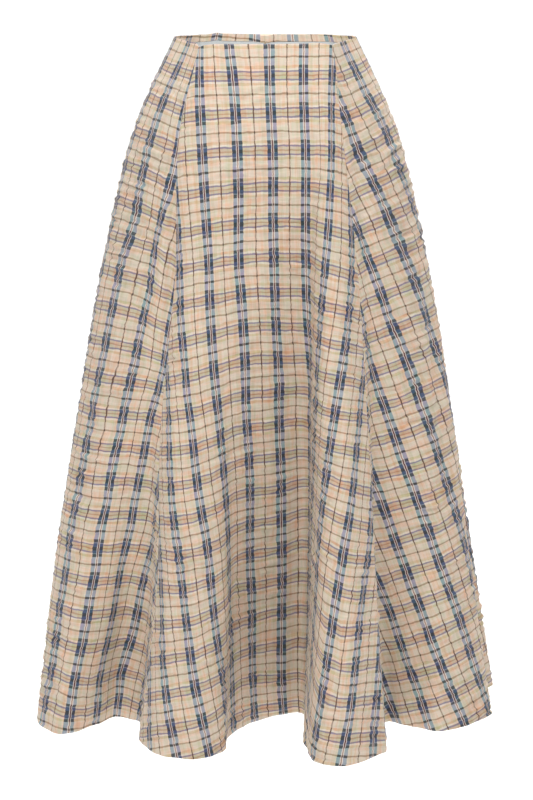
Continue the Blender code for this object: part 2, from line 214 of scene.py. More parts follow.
def column_places(lines):
    """Places of a panel's columns, spaced by their distance at the hem."""
    look = np.linspace(0, len(lines) - 1, LOOKS * (len(lines) - 1) + 1)
    along_hem = travelled(cross_section(lines, SKIRT_DROP, look))
    width = along_hem[-1]
    inside = np.linspace(BESIDE_SEAM[-1], width - BESIDE_SEAM[-1], round(width / COLUMN_STEP))
    marks = [0.0, *BESIDE_SEAM[:-1], *inside, *(width - np.array(BESIDE_SEAM[:-1]))[::-1], width]
    return np.interp(marks, along_hem, look)


places = {name: column_places(lines) for name, lines in PANELS.items()}
smooth_form = {name: np.array([cross_section(lines, drop, places[name]) for drop in drops])
               for name, lines in PANELS.items()}
for name, grid in smooth_form.items():
    print(name, "grid", grid.shape[:2], "hem", round(travelled(grid[-1])[-1], 3), "m")

# %% The whole skirt as one ring, so that the panels meet at their seams
columns = {}
first = 0
for name, grid in smooth_form.items():
    columns[name] = np.arange(first, first + grid.shape[1])
    first += grid.shape[1] - 1
ring = np.concatenate([grid[:, :-1] for grid in smooth_form.values()], axis=1)
columns = {name: indices % first for name, indices in columns.items()}


def unit(vectors):
    return vectors / np.linalg.norm(vectors, axis=-1, keepdims=True)


across = np.roll(ring, -1, axis=1) - np.roll(ring, 1, axis=1)
facing = unit(np.cross(np.gradient(ring, axis=0), across))
waist_edge = travelled(np.vstack([ring[0], ring[0][:1]]))
print("ring", ring.shape, "waist", round(waist_edge[-1], 3), "m round")

# %% [markdown]
# ## The camera
# The photograph looks at the skirt from the front and a little above, from a little over three
# metres, so that the far side of the waist shows over the near one.

# %% Camera
PHOTO_WIDE, PHOTO_HIGH = 533, 800
CAMERA_AT = Vector((0.002, -3.3, 0.25))
CAMERA_DOWN = math.radians(12.7)
FOCAL_PIXELS = 2456.0

camera_data = bpy.data.cameras.new("photo_camera")
camera_data.sensor_fit = "VERTICAL"
camera_data.sensor_height = 36.0
camera_data.lens = camera_data.sensor_height * FOCAL_PIXELS / PHOTO_HIGH
camera = bpy.data.objects.new("photo_camera", camera_data)
camera.location = CAMERA_AT
camera.rotation_euler = (math.pi / 2 - CAMERA_DOWN, 0.0, 0.0)
bpy.context.scene.collection.objects.link(camera)
bpy.context.scene.camera = camera
print("lens", round(camera_data.lens, 1), "mm")


def seen_from_camera(points):
    """Pixel column, pixel row and distance of points in the photograph."""
    away = points - np.array(CAMERA_AT)
    depth = away[..., 1] * math.cos(CAMERA_DOWN) - away[..., 2] * math.sin(CAMERA_DOWN)
    up = away[..., 2] * math.cos(CAMERA_DOWN) + away[..., 1] * math.sin(CAMERA_DOWN)
    column = PHOTO_WIDE / 2 + FOCAL_PIXELS * away[..., 0] / depth
    row = PHOTO_HIGH / 2 - FOCAL_PIXELS * up / depth
    return np.stack([column, row, depth], axis=-1)


# %% [markdown]
# ## Laying each panel flat
# A woven check is straight only on the flat cloth. Painted in space it would cut through the folds,
# so each panel carries a UV map that lays it flat, as before sewing. The panels bend but hardly
# stretch, so Blender's conformal unwrap keeps their lengths within 5 %.

# %% Panel objects
def select_only(piece):
    bpy.ops.object.select_all(action="DESELECT")
    piece.select_set(True)
    bpy.context.view_layer.objects.active = piece


def add_panel(name, grid):
    """An open sheet through a grid of points, its faces turned outwards."""
    rows, cols = grid.shape[:2]
    spots = np.arange(rows * cols).reshape(rows, cols)
    faces = np.stack([spots[:-1, :-1], spots[1:, :-1], spots[1:, 1:], spots[:-1, 1:]], -1)
    mesh = bpy.data.meshes.new(name)
    mesh.from_pydata(grid.reshape(-1, 3).tolist(), [], faces.reshape(-1, 4).tolist())
    mesh.uv_layers.new(name="flat_cloth")
    piece = bpy.data.objects.new(name, mesh)
    bpy.context.scene.collection.objects.link(piece)
    return piece


def corner_points(mesh):
    """The vertex at each corner of the faces."""
    found = np.empty(len(mesh.loops), dtype=np.int32)
    mesh.loops.foreach_get("vertex_index", found)
    return found


def signed_area(flat):
    one = flat[1:, 1:] - flat[:-1, :-1]
    other = flat[1:, :-1] - flat[:-1, 1:]
    return ((one[..., 1] * other[..., 0] - one[..., 0] * other[..., 1]) / 2).sum()


def laid_flat(piece, grid):
    """The panel on the table, in metres: x across, y down its middle column."""
    select_only(piece)
    bpy.ops.object.mode_set(mode="EDIT")
    bpy.ops.mesh.select_all(action="SELECT")
    bpy.ops.uv.unwrap(method="CONFORMAL", margin=0.0)
    bpy.ops.object.mode_set(mode="OBJECT")
    corners = np.empty(2 * len(piece.data.loops), dtype=np.float32)
    piece.data.uv_layers[0].data.foreach_get("uv", corners)
    flat = np.empty((len(piece.data.vertices), 2))
    flat[corner_points(piece.data)] = corners.reshape(-1, 2)
    flat = flat.reshape(*grid.shape[:2], 2)
    if signed_area(flat) < 0:
        flat[..., 0] *= -1
    centre = flat.shape[1] // 2
    down = unit(flat[-1, centre] - flat[0, centre])
    flat = (flat - flat[0, centre]) @ np.column_stack([(down[1], -down[0]), down])
    one, other = grid[1:, 1:] - grid[:-1, :-1], grid[1:, :-1] - grid[:-1, 1:]
    cloth = np.linalg.norm(np.cross(one, other), axis=-1).sum() / 2
    return flat * math.sqrt(cloth / abs(signed_area(flat)))


panels = {}
flats = {}
for name, grid in smooth_form.items():
    panels[name] = add_panel("cloth_" + name, grid)
    flats[name] = laid_flat(panels[name], grid)
    size = np.ptp(flats[name].reshape(-1, 2), axis=0)
    print(name, "flat", size.round(3), "area", round(abs(signed_area(flats[name])), 4))

# %% [markdown]
# ## Lining up the check
# Crinkled cloth gives: it is pulled flat at the waist and relaxes by a tenth below, so the check
# isn't quite even on the flat panel. The tables below follow the check down the photograph. A warp
# entry is the number of a pair of dark bars, where .5 is the thin line between two pairs, and the
# pixels that it passes. A weft entry is the number of a thin brown cross line and its pixels.
# Between them the cloth follows smoothly, and where nothing is seen it stays even.

# %% Warp of the front panel
FRONT_WARP = (
    (-6, ((149, 705), (149, 740))),
    (-5, ((162, 655), (174, 747))),
    (-4, ((168, 406), (174, 527), (188, 640), (208, 747))),
    (-3, ((177, 225), (180.5, 324), (187, 400), (197, 483), (208, 550), (219, 649))),
    (-2, ((199.5, 60), (209, 264), (219.5, 410), (228, 527), (229.7, 590))),
    (-1.5, ((237.5, 580),)),
    (-1, ((229.5, 50), (238, 260), (246, 410), (252, 600), (255, 720))),
    (0, ((268, 50), (274, 260), (279, 410), (281.5, 560), (283, 714))),
    (0.5, ((296.7, 385), (297.7, 472), (298.3, 594), (298, 691))),
    (1, ((305, 50), (307, 160))),
    (2, ((333, 60), (331.5, 112), (330, 199))),
    (3, ((351, 199), (352, 271), (342, 370), (337.6, 396))),
    (3.5, ((354.4, 382), (348, 433), (341, 478))),
    (4, ((362.6, 385), (355.2, 470), (346.4, 540), (334.2, 610), (328.8, 647))),
    (4.5, ((362.4, 506), (353.6, 587), (344, 648), (335.5, 705), (326, 751))),
    (5, ((369.9, 543), (361, 612), (354, 684), (343, 753))),
    (6, ((379, 684), (375, 718), (373.3, 753))),
)
# The brown line is a whole number, and .378 is the upper of the two blue lines below it
FRONT_WEFT = (
    (0, ((205, 57), (260, 57), (320, 56))),
    (2, ((190, 136), (260, 132), (325, 131))),
    (4, ((186, 214), (260, 205), (330, 210))),
    (6, ((179.6, 288), (260, 275), (345, 293))),
    (8, ((184.6, 360), (260, 342.4), (300, 344))),
    (9, ((166, 399), (187, 395.5))),
    (10, ((169, 433.5), (190, 431.5), (233, 414.5), (250, 411.5), (263.5, 410.5), (283, 407.5),
          (309, 408), (332, 431), (360, 435))),
    (11, ((170, 468.5), (181, 468.5), (201, 463.5), (233, 449), (250, 444), (264, 442.7),
          (283, 439.8), (309, 440))),
    (12, ((160, 503), (173, 503.5), (190, 501), (216, 493), (234, 480.3), (252, 476.4), (265, 475),
          (284, 471.8), (309, 471.5), (351, 505))),
    (13, ((161, 537.5), (176, 538.5), (190.5, 536), (208.5, 530), (220, 525), (234, 513),
          (252, 508.3), (265, 506.5), (285, 503), (309, 502.9))),
    (14, ((163, 571), (177, 573), (195, 569), (223.5, 561), (236, 544.6), (253.6, 539.3),
          (266, 537), (285, 533.5), (309, 533.4), (340, 575), (365, 577))),
    (15.378, ((233, 585.4), (252, 582), (277.6, 577.4), (309.4, 575))),
    (16, ((190, 639), (298, 594), (329, 647), (358.5, 648))),
    (16.378, ((233, 622), (250, 616), (277.6, 607.7))),
    (17.378, ((233, 656.3), (252, 647), (277.6, 642), (309.4, 640.4))),
    (18, ((190, 708), (298, 661), (319, 717), (350, 720), (375, 718))),
    (18.378, ((241, 679.4), (287, 673.9), (306, 672.3))),
)

# %% Warp and weft of the side panels
LEFT_WARP = (
    (0, ((164.6, 97), (150, 138), (139.8, 189), (123.2, 257), (108.4, 325), (94.4, 394),
         (82.6, 460), (70.4, 526), (56.9, 614), (44.1, 703))),
    (0.5, ((178, 92), (167.5, 135), (148.7, 228), (132.7, 295), (118.4, 364), (106.1, 431),
           (93.1, 498), (80.4, 563), (69, 630), (57.5, 691))),
    (1, ((187.6, 110), (170, 186), (156.6, 235), (148.3, 299), (134.1, 365), (120.2, 432),
         (108.1, 499), (96.6, 565), (84.9, 631), (72.8, 697))),
    (1.5, ((163.9, 275), (156.6, 313), (150, 369), (134.2, 433), (120.9, 499), (111.3, 565),
           (100.3, 630), (87.1, 697))),
    (2, ((163, 366), (149.3, 421), (134.8, 499), (121.5, 564), (110.7, 629), (98.6, 695))),
    (2.5, ((146.7, 518), (135.2, 564), (118.7, 642), (108.5, 707))),
    (3, ((143.6, 580), (134.8, 628), (123.2, 671))),
    (3.5, ((144.3, 647), (137.9, 675), (130.9, 707))),
)
LEFT_WEFT = (
    (0, ((139.8, 189), (165.6, 201))),
    (2, ((123.2, 257), (140.7, 262), (153, 265), (163.9, 275))),
    (4, ((108.4, 325), (125, 329), (140.7, 332), (155.4, 340))),
    (6, ((94.4, 394), (112.3, 397), (126.7, 399), (142.5, 400))),
    (8, ((82.6, 460), (99.9, 464), (114.1, 465), (127.3, 465), (142.5, 467))),
    (10, ((70.4, 526), (87.1, 531), (103, 532), (115.2, 532), (127.8, 532), (142.9, 533))),
    (12, ((61.1, 592), (74.5, 596), (91.1, 598), (103.8, 598), (115.6, 596), (126.1, 597))),
    (14, ((63.3, 661), (79.6, 665), (93.2, 666), (106, 662), (115.8, 660), (129, 661))),
    (15, ((45.2, 687), (57.5, 691), (72.8, 697), (98.6, 695), (111.4, 691), (134.7, 690))),
)
RIGHT_WARP = (
    (3, ((344, 43), (354.3, 67), (370.9, 101), (387.5, 133), (400.3, 170), (413, 205))),
    (2.5, ((339.7, 66), (355.6, 103), (366.5, 126), (382.4, 161), (397.1, 194), (411.7, 227))),
    (2, ((346.7, 117), (358.8, 151), (381.8, 201), (395.8, 234), (409.3, 266), (422.3, 299),
         (431.6, 331))),
    (1.5, ((351.1, 177), (366.5, 208), (378.3, 242), (392.1, 274), (405.1, 306), (417.6, 337),
           (430.1, 370), (440.8, 402))),
    (1, ((365.2, 247), (376.1, 280), (387, 313), (400.4, 345), (412.5, 377), (424, 409),
         (435.1, 441), (444.6, 471), (453.2, 501))),
    (0.5, ((372.3, 319), (381.9, 352), (394.6, 386), (406.1, 416), (417.8, 447), (429.3, 478),
           (440.4, 511), (450.6, 541), (458.9, 569))),
    (0, ((371.7, 372), (377.9, 389), (389.3, 421), (400, 453), (411.5, 485), (422.7, 516),
         (434, 547), (444.9, 577), (455.9, 607), (465.7, 636), (474.5, 665))),
    (-0.5, ((383.8, 458), (395.3, 490), (406.1, 521), (417.8, 552), (428.9, 583), (440.4, 613),
            (451.3, 643), (461.4, 672), (473.5, 702))),
    (-1, ((389.9, 527), (400.6, 558), (412.1, 588), (423.7, 619.5), (435.3, 651), (446.8, 680),
          (459.2, 710))),
    (-1.5, ((385.9, 562), (396, 593.4), (407.9, 624.6), (419.6, 656), (430.9, 687), (443.2, 717))),
    (-2, ((383.5, 592), (390.4, 612), (405, 659), (416.2, 689), (426.9, 722))),
    (-2.5, ((393.5, 662), (401.8, 693), (411.4, 724))),
    (-3, ((396.7, 722),)),
)
RIGHT_WEFT = (
    (-2, ((348, 53),)),
    (-1, ((341, 97), (351.5, 94), (364.5, 87), (375, 80))),
    (1, ((351.1, 177), (367.1, 168), (382.4, 161), (392.6, 154))),
    (3, ((365.2, 247), (378.3, 242), (395.8, 234), (411.7, 227))),
    (5, ((372.3, 319), (387, 313), (405.1, 306), (422.3, 299))),
    (7, ((377.9, 389), (394.6, 386), (412.5, 377), (430.1, 370))),
    (9, ((383.8, 458), (400, 453), (417.8, 447), (435.1, 441))),
    (11, ((376.1, 529.5), (389.9, 527), (406.1, 521), (422.7, 516), (440.4, 511), (453.2, 501))),
    (13, ((396.1, 594), (412.1, 588), (428.9, 583), (444.9, 577), (458.9, 569))),
    (15, ((393.5, 662), (405, 659), (419.6, 656), (435.3, 651), (451.3, 643), (465.7, 636))),
    (17, ((411.4, 724), (426.9, 722), (443.2, 717), (459.2, 710), (473.5, 702))),
)


# %% From a pixel to a row and a column of a panel
NEAR = 6.0                  # pixels from a reading within which its place is looked for
FAR_COST = 60.0             # pixels for each metre of distance, so that the nearer layer is taken
GLANCING = 0.02             # cloth turned further from the camera than this isn't looked at
LAST_STEP = 1.5             # rows or columns that the last step between grid points may take


def spot_at(name, pixel):
    """Row and column, with their fractions, of the place on a panel that shows at this pixel."""
    seen = pictures[name]
    last = np.array(seen.shape[:2]) - 1
    off = np.hypot(seen[..., 0] - pixel[0], seen[..., 1] - pixel[1])
    score = np.where((off < NEAR) & towards[name], off + FAR_COST * seen[..., 2], np.inf)
    row, col = np.unravel_index(score.argmin(), score.shape)
    if not np.isfinite(score[row, col]):
        return None
    row, col = min(max(row, 1), last[0] - 1), min(max(col, 1), last[1] - 1)
    steps = np.column_stack([seen[row + 1, col, :2] - seen[row - 1, col, :2],
                             seen[row, col + 1, :2] - seen[row, col - 1, :2]]) / 2
    more = np.linalg.solve(steps, np.array(pixel) - seen[row, col, :2]).clip(-LAST_STEP, LAST_STEP)
    return np.clip(np.array([row, col]) + more, 0, last - 1e-6)


pictures = {name: seen_from_camera(grid) for name, grid in smooth_form.items()}
view_line = {name: unit(np.array(CAMERA_AT) - grid) for name, grid in smooth_form.items()}
towards = {name: (facing[:, columns[name]] * view_line[name]).sum(-1) > GLANCING
           for name in smooth_form}

# %% [markdown]
# The readings are few, so a coarse net of 30 by 27 knots over each panel carries them. A
# least-squares solve asks three things of the net: pass the readings, change little from knot to
# knot, and bend little.

# %% Fitting the check to the tables
NET = (30, 27)
STRETCH_COST = 0.007      # a change between two knots, for each metre that lies between them
BEND_COST = 0.0032


def between(net_rows, net_cols, spot):
    """The four knots round a spot, and their shares in it."""
    i = min(np.searchsorted(net_rows, spot[0], side="right") - 1, len(net_rows) - 2)
    j = min(np.searchsorted(net_cols, spot[1], side="right") - 1, len(net_cols) - 2)
    a = (spot[0] - net_rows[i]) / (net_rows[i + 1] - net_rows[i])
    b = (spot[1] - net_cols[j]) / (net_cols[j + 1] - net_cols[j])
    knots = [i * len(net_cols) + j, i * len(net_cols) + j + 1]
    knots += [knot + len(net_cols) for knot in knots]
    return knots, [(1 - a) * (1 - b), (1 - a) * b, a * (1 - b), a * b]


def smooth_rows(net, knots):
    """Equations that keep one line of knots even and straight."""
    gaps = np.linalg.norm(np.diff(net, axis=0), axis=1)
    equations = []
    for first, gap in enumerate(gaps):
        weight = STRETCH_COST / math.sqrt(gap)
        equations.append((knots[first:first + 2], (-weight, weight)))
    for first, (one, two) in enumerate(zip(gaps[:-1], gaps[1:])):
        weights = BEND_COST / one, -BEND_COST / one - BEND_COST / two, BEND_COST / two
        equations.append((knots[first:first + 3], weights))
    return equations


def follow(name, table):
    """Check numbers all over a panel: an even plan on the flat cloth, eased to the readings."""
    flat = flats[name]
    net_rows, net_cols = (np.linspace(0, size - 1, count).round().astype(int)
                          for size, count in zip(flat.shape[:2], NET))
    found = [(spot_at(name, pixel), number) for number, pixels in table for pixel in pixels]
    found = [(spot, number) for spot, number in found if spot is not None]
    net = flat[np.ix_(net_rows, net_cols)]
    shares = [between(net_rows, net_cols, spot) for spot, _ in found]
    spots = np.array([np.array(weights) @ net.reshape(-1, 2)[knots] for knots, weights in shares])
    numbers = np.array([number for _, number in found], float)
    plan = np.linalg.lstsq(np.column_stack([spots, np.ones(len(spots))]), numbers, rcond=None)[0]
    left_over = numbers - spots @ plan[:2] - plan[2]

    knots = np.arange(net.shape[0] * net.shape[1]).reshape(net.shape[:2])
    equations = list(shares)
    for line in range(net.shape[0]):
        equations += smooth_rows(net[line], knots[line])
    for line in range(net.shape[1]):
        equations += smooth_rows(net[:, line], knots[:, line])
    system, wanted = np.zeros((knots.size, knots.size)), np.zeros(knots.size)
    for ids, weights in equations:
        system[np.ix_(ids, ids)] += np.outer(weights, weights)
    for (ids, weights), off in zip(shares, left_over):
        wanted[ids] += np.array(weights) * off
    eased = np.linalg.solve(system, wanted)
    missed = np.abs([np.array(weights) @ eased[ids] - off
                     for (ids, weights), off in zip(shares, left_over)])

    by_cols = np.array([np.interp(np.arange(flat.shape[1]), net_cols, line)
                        for line in eased.reshape(net.shape[:2])])
    easing = np.array([np.interp(np.arange(flat.shape[0]), net_rows, line) for line in by_cols.T]).T
    print(name, "readings", len(found), "missed by", round(float(missed.max()), 3), "of a repeat")
    return flat @ plan[:2] + plan[2] + easing


READINGS = {
    "front_panel": (FRONT_WARP, FRONT_WEFT),
    "side_panel_left": (LEFT_WARP, LEFT_WEFT),
    "side_panel_right": (RIGHT_WARP, RIGHT_WEFT),
}
check_numbers = {}
for name, tables in READINGS.items():
    check_numbers[name] = np.stack([follow(name, table) for table in tables], -1)

# %% The back, which the photograph doesn't show, keeps an even check across its zip
CHECK_REPEAT = 0.0505
BACK_PAIR_AT = -0.0138      # x of a pair of bars at the waist, seen inside the back
BACK_WEFT_AT = 0.005        # drop of the first brown cross line

for name in ("back_panel_right", "back_panel_left"):
    flat = flats[name]
    zip_side = -1 if name == "back_panel_right" else 0
    zip_edge = flat[:, zip_side]
    down = unit(zip_edge[-1] - zip_edge[0])
    out = (flat - zip_edge[0]) @ np.column_stack([(down[1], -down[0]), down])
    # Seen from behind, x runs the other way, so the pair's place is counted from the zip.
    check_numbers[name] = np.stack([(out[..., 0] + BACK_PAIR_AT) / CHECK_REPEAT,
                                    (out[..., 1] - BACK_WEFT_AT) / CHECK_REPEAT], -1)
    print(name, "check runs", check_numbers[name].reshape(-1, 2).min(0).round(1), "to",
          check_numbers[name].reshape(-1, 2).max(0).round(1))

# %% [markdown]
# ## Creases
# The main folds are in the form already. On the real skirt smaller creases lie between them: one
# sharp fold in the left side panel, soft troughs that start at the waist seams, and ripples that
# grow towards the hem. Each is given as a path, a depth and a width to either side, uneven
# as real ones are. The hidden sides get creases of the same kind.

# %% Crease table
# For each panel: a path of (drop, place), the depth, and the widths before and after it.
# A minus depth is a ridge.
CREASES = {
    "side_panel_left": (
        (((0.15, 7.35), (0.25, 7.10), (0.33, 7.15), (0.40, 7.30)), 0.0050, 0.004, 0.012),
        (((0.15, 6.95), (0.26, 6.75), (0.40, 6.80)), -0.0035, 0.012, 0.006),
        (((0.45, 5.70), (0.62, 5.85), (0.93, 6.10)), 0.0040, 0.014, 0.018),
        (((0.62, 6.70), (0.75, 6.65), (0.93, 6.75)), -0.0030, 0.012, 0.014),
        (((0.68, 6.30), (0.80, 6.25), (0.93, 6.25)), 0.0060, 0.016, 0.014),
        (((0.70, 4.50), (0.93, 4.55)), 0.0030, 0.012, 0.012),
        (((0.30, 2.40), (0.55, 2.55), (0.80, 2.45)), 0.0040, 0.014, 0.012),
        (((0.55, 1.40), (0.93, 1.30)), -0.0040, 0.016, 0.014),
    ),
    "front_panel": (
        (((0.02, 3.55), (0.12, 3.80), (0.25, 3.95)), 0.0022, 0.010, 0.012),
        (((0.02, 6.60), (0.10, 6.75), (0.22, 6.90)), 0.0030, 0.008, 0.006),
        (((0.55, 1.60), (0.75, 1.45), (0.93, 1.50)), 0.0025, 0.012, 0.012),
        (((0.60, 8.90), (0.78, 8.70), (0.93, 8.75)), 0.0022, 0.010, 0.012),
        (((0.45, 5.55), (0.70, 5.50), (0.93, 5.60)), -0.0018, 0.012, 0.014),
    ),
    "side_panel_right": (
        (((0.10, 1.10), (0.22, 1.25), (0.34, 1.15)), 0.0040, 0.008, 0.012),
        (((0.46, 1.20), (0.70, 1.25), (0.93, 1.30)), 0.0040, 0.014, 0.018),
        (((0.40, 1.60), (0.60, 1.75), (0.93, 1.85)), -0.0030, 0.012, 0.014),
        (((0.58, 2.60), (0.75, 2.70), (0.93, 2.60)), 0.0035, 0.014, 0.016),
        (((0.30, 3.60), (0.50, 3.45), (0.66, 3.50)), 0.0035, 0.010, 0.014),
        (((0.50, 5.45), (0.93, 5.60)), 0.0040, 0.014, 0.014),
        (((0.25, 6.80), (0.45, 6.90), (0.70, 6.85)), -0.0035, 0.014, 0.012),
    ),
    "back_panel_right": (
        (((0.05, 1.60), (0.20, 1.75), (0.38, 1.70)), 0.0028, 0.010, 0.014),
        (((0.55, 2.55), (0.93, 2.45)), -0.0030, 0.014, 0.012),
        (((0.60, 0.80), (0.93, 0.90)), 0.0035, 0.014, 0.012),
    ),
    "back_panel_left": (
        (((0.06, 2.60), (0.24, 2.75), (0.40, 2.90)), 0.0026, 0.012, 0.010),
        (((0.50, 0.60), (0.93, 0.55)), 0.0030, 0.014, 0.016),
        (((0.65, 3.60), (0.93, 3.70)), -0.0030, 0.012, 0.014),
    ),
}

# %% Pressing the creases in
FADE_SHARE = 0.35           # part of a crease's length over which it fades in, and out again

girth = np.array([travelled(np.vstack([row, row[:1]])) for row in ring])
creased = np.zeros(ring.shape[:2])


def press(name, path, depth, before, after):
    """Press one crease into its panel. It fades at both ends, unless it runs off the hem."""
    path_drops, path_places = zip(*path)
    crease_place = np.interp(drops, path_drops, path_places)
    start, end = path_drops[0], path_drops[-1]
    fade = FADE_SHARE * (end - start)
    fade_in = np.clip((drops - start) / fade, 0, 1)
    fade_out = np.clip((end - drops) / fade, 0, 1) if end < SKIRT_DROP else 1.0
    strength = np.sin(fade_in * math.pi / 2) ** 2 * np.sin(fade_out * math.pi / 2) ** 2
    for row in np.nonzero(strength)[0]:
        lengths = girth[row, :-1][columns[name]]
        if lengths[-1] < lengths[0]:
            lengths = np.append(lengths[:-1], girth[row, -1])
        off = lengths - np.interp(crease_place[row], places[name], lengths)
        width = np.where(off < 0, before, after)
        shape = np.exp(-(off / width) ** 2) * strength[row]
        creased[row, columns[name][:-1]] -= depth * shape[:-1]


for name, creases in CREASES.items():
    for crease in creases:
        press(name, *crease)
print("creases", sum(len(creases) for creases in CREASES.values()),
      "deepest", round(-creased.min() * 1000, 1), "mm")

# %% [markdown]
# ## Crinkle
# The crinkle runs with the weft: short level puckers, each a few centimetres wide, about a
# centimetre apart and a millimetre high. Two layers of smooth noise read in check numbers give them
# on every panel, so they turn with the cloth. They die away towards the seams and the waist tape,
# which hold the cloth flat, and the seams themselves lie a little below the cloth.

# %% Pucker sizes
PUCKER_HEIGHT = 0.0036
PUCKER_WIDE, PUCKER_TALL = 0.50, 0.115      # in repeats of the check
PUCKER_DRIFT = 0.10                         # how far the puckers wander off the weft, in repeats
PUCKER_MIDDLE = 0.12        # the cloth lies this share of the height inside the smooth form
PATCH_MEAN, PATCH_SWING = 0.65, 0.6         # some patches are crinkled more than others
FINE_HEIGHT = 0.0008
FINE_WIDE, FINE_TALL = 0.22, 0.06
SEAM_HOLD = 0.008
ZIP_HOLD = 0.018            # the zip's tapes hold the cloth flat further out than a plain seam does
ZIP_END = 0.27
ZIP_PANELS = ("back_panel_left", "back_panel_right")    # from the zip, and up to it
SEAM_DIP, SEAM_DIP_REACH = 0.0008, 0.0028
ZIP_DIP_SHARE = 0.3         # what is left of the dip where the zip's tapes back the seam
WAIST_HOLD = (0.034, 0.070)
WAIST_CRINKLE, WAIST_DIP = 0.2, 0.3         # what is left of the crinkle and the dip at the waist


# %% Pucker heights
def from_seams(grid):
    """How far each point of a panel lies from its first seam, and how far from its last."""
    from_start = np.array([travelled(row) for row in grid])
    return from_start, from_start[:, -1:] - from_start


def smooth_noise(across, down, layer):
    return noise.noise(Vector((across, down, layer)))


def pucker(across, down, layer):
    """Crinkle at one spot of the check, between about -1 and 1."""
    drifted = down + PUCKER_DRIFT * smooth_noise(across * 0.9, down * 0.5, layer + 3.1)
    height = smooth_noise(across / PUCKER_WIDE, drifted / PUCKER_TALL, layer)
    patch = PATCH_MEAN + PATCH_SWING * smooth_noise(across * 0.8, down * 0.7, layer + 9.7)
    fine = smooth_noise(across / FINE_WIDE, drifted / FINE_TALL, layer + 5.3)
    return height * patch + FINE_HEIGHT / PUCKER_HEIGHT * fine


def panel_heights(name, layer):
    """How far each point of a panel stands out from the smooth form."""
    numbers = check_numbers[name].reshape(-1, 2)
    crinkle = np.array([pucker(u, v, layer) for u, v in numbers]).reshape(len(drops), -1)
    at_waist = np.clip((drops - WAIST_HOLD[0]) / (WAIST_HOLD[1] - WAIST_HOLD[0]), 0, 1)[:, None]
    dip = 0.0
    for from_seam, zip_panel in zip(from_seams(smooth_form[name]), ZIP_PANELS):
        zipped = (drops < ZIP_END)[:, None] & (name == zip_panel)
        held = np.clip(from_seam / np.where(zipped, ZIP_HOLD, SEAM_HOLD), 0, 1)
        crinkle *= held * held * (3 - 2 * held)
        share = np.where(zipped, ZIP_DIP_SHARE, 1.0)
        dip = dip + share * np.exp(-(from_seam / SEAM_DIP_REACH) ** 2)
    crinkle *= WAIST_CRINKLE + (1 - WAIST_CRINKLE) * at_waist
    dip *= SEAM_DIP * (WAIST_DIP + (1 - WAIST_DIP) * at_waist)
    return PUCKER_HEIGHT * (crinkle - PUCKER_MIDDLE) - dip + creased[:, columns[name]]


heights = {name: panel_heights(name, 11.0 + 7.0 * count) for count, name in enumerate(panels)}
for name, height in heights.items():
    print(name, "stands", *(1000 * np.array([height.min(), height.max()])).round(1), "mm out")

# %% [markdown]
# ## Cloth with a thickness
# The grid points move out by their heights, the UV map gets the check numbers, one unit for each
# repeat, and Solidify gives the sheet its wall towards the inside. A small bevel rounds the cut
# edges at the waist and the hem, where a real edge is turned under.

# %% Walls and edges
CUT_ANGLE = math.radians(70)


def apply_all(piece):
    select_only(piece)
    for modifier in list(piece.modifiers):
        bpy.ops.object.modifier_apply(modifier=modifier.name)


def finish_sheet(piece, across, down, wall, rounding=0.0001):
    """A UV map with these values at the grid points, then a wall inwards with rounded cut edges.

    The values in `down` grow down the skirt, so V is turned.
    """
    uv = np.column_stack([np.ravel(across), -np.ravel(down)])[corner_points(piece.data)]
    piece.data.uv_layers[0].data.foreach_set("uv", uv.ravel().astype(np.float32))
    thick = piece.modifiers.new("wall", "SOLIDIFY")
    thick.thickness = wall
    thick.offset = -1.0
    edge = piece.modifiers.new("soft_edge", "BEVEL")
    edge.limit_method = "ANGLE"
    edge.angle_limit = CUT_ANGLE
    edge.width = rounding
    edge.segments = 2
    apply_all(piece)
    piece.data.shade_smooth()
    print(piece.name, "triangles", sum(len(face.vertices) - 2 for face in piece.data.polygons))


# %% Finish the panels
CLOTH_WALL = 0.0011
CLOTH_ROUNDING = 0.0004
SEAM_GAP = 0.0003
GAP_REACH = 0.004           # how far from a seam the cloth still gives way to the gap
SLIT_HALF = 0.0007
FACING_LOW = 0.0098         # drop of the facing's lower edge, where the slit for the slider ends


def set_back(grid, name):
    """Both side edges drawn back from their seams, and further beside the zip's slit."""
    plain = np.full(len(drops), SEAM_GAP / 2)
    slit = np.interp(drops, (0.0, 0.0020, FACING_LOW, FACING_LOW + 0.001),
                     (SEAM_GAP / 2, SLIT_HALF, SLIT_HALF, SEAM_GAP / 2))
    inwards = len(BESIDE_SEAM)
    edges = (0, inwards), (-1, -1 - inwards)
    for from_seam, zip_panel, (edge, near) in zip(from_seams(grid), ZIP_PANELS, edges):
        gap = slit if name == zip_panel else plain
        into = unit(grid[:, near] - grid[:, edge])
        grid = grid + into[:, None] * (gap[:, None] * np.exp(-from_seam / GAP_REACH))[..., None]
    return grid


for name, piece in panels.items():
    grid = set_back(smooth_form[name] + facing[:, columns[name]] * heights[name][..., None], name)
    piece.data.vertices.foreach_set("co", grid.reshape(-1).astype(np.float32))
    piece.data.update()
    finish_sheet(piece, *np.moveaxis(check_numbers[name], -1, 0), CLOTH_WALL, CLOTH_ROUNDING)

# %% [markdown]
# ## The check
# A woven check is two sets of stripes that cross. The warp has pairs of blue bars with white and
# red-brown threads between them and a thin brown line halfway to the next pair. The weft has two
# blue lines, ochre bands between and beside them, and one thin brown line. Where dark warp
# crosses the weft's stripes it shows dark, elsewhere it is washed out, as dark floats over pale
# threads are. Both sets are mirrored about their lines, so a Ping-Pong node folds each to half a
# repeat, and there Color Ramps and masks draw the stripes.

# %% Node helpers
def feed(tree, socket, value):
    """Link another node's output to a socket, or set a plain value on it."""
    if isinstance(value, bpy.types.NodeSocket):
        tree.links.new(value, socket)
    else:
        socket.default_value = value


